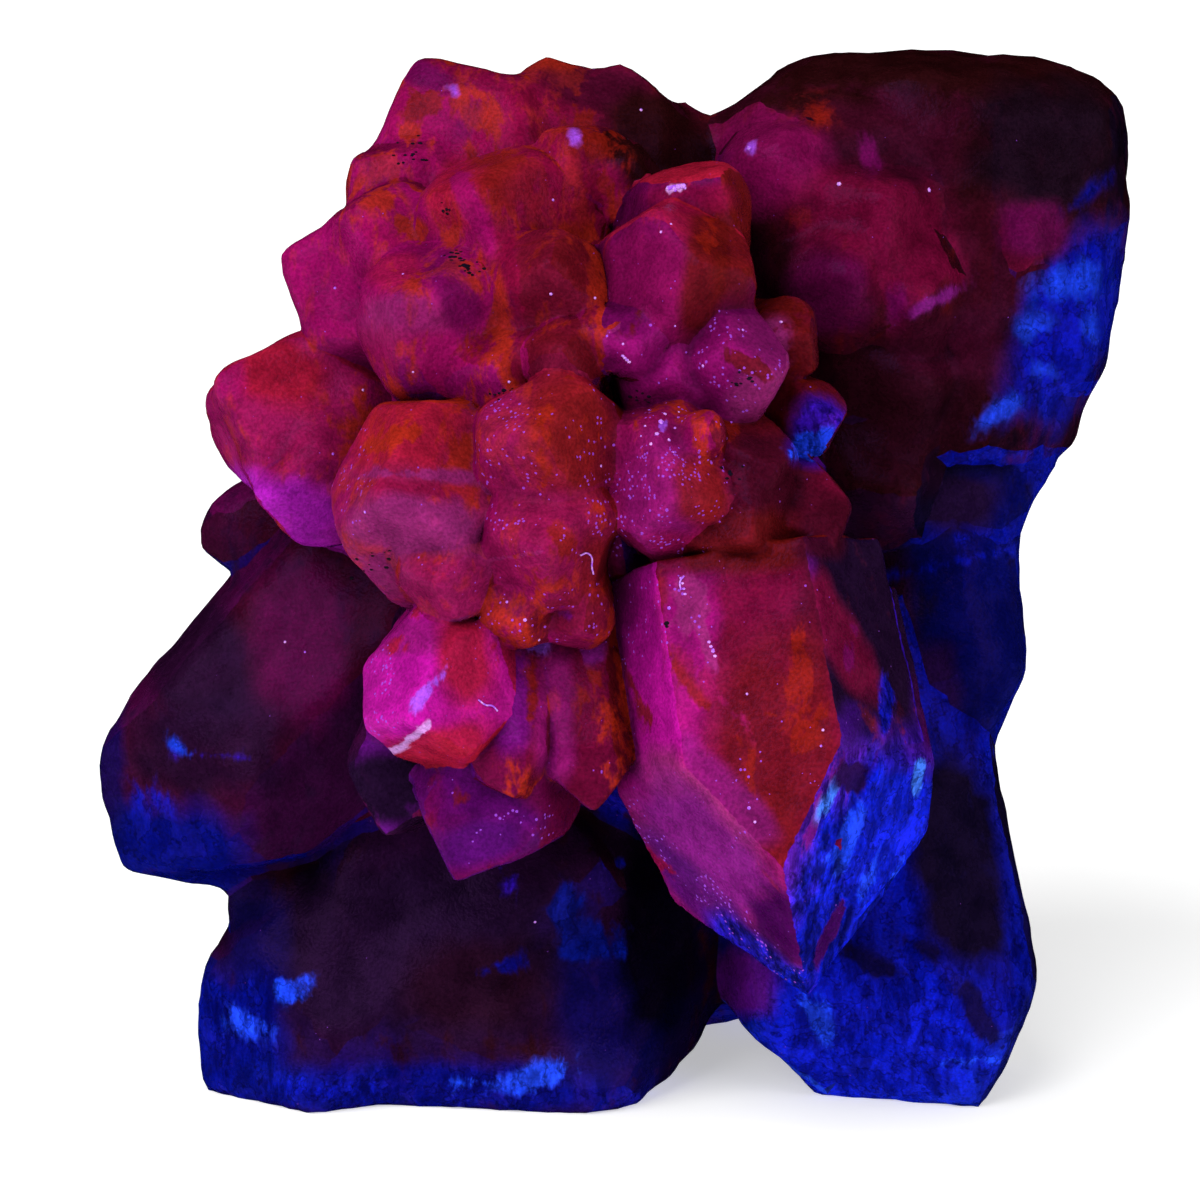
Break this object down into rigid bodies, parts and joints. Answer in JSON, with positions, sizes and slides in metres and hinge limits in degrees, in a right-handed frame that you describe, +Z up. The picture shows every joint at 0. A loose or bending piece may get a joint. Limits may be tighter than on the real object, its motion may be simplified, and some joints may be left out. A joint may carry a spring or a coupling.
{
  "type": "citrine crystal cluster",
  "caption": "Intergrown quartz cluster with a large point hanging at the front, a druse of stubby crystals and big dark crystals around it; stands on its flat lower ends as an ornament.",
  "frame": {"origin": "middle of the bounding box, on the surface that the cluster stands on", "axes": "+Z up, +X to the viewer's right, front towards -Y"},
  "size_m": [0.0524, 0.0454, 0.0525],
  "materials": {
    "citrine": "translucent crystal faces, glossy on the points and frosted in patches"
  },
  "bodies": {
    "root": {"crystal_cluster": "citrine"}
  },
  "joints": []
}
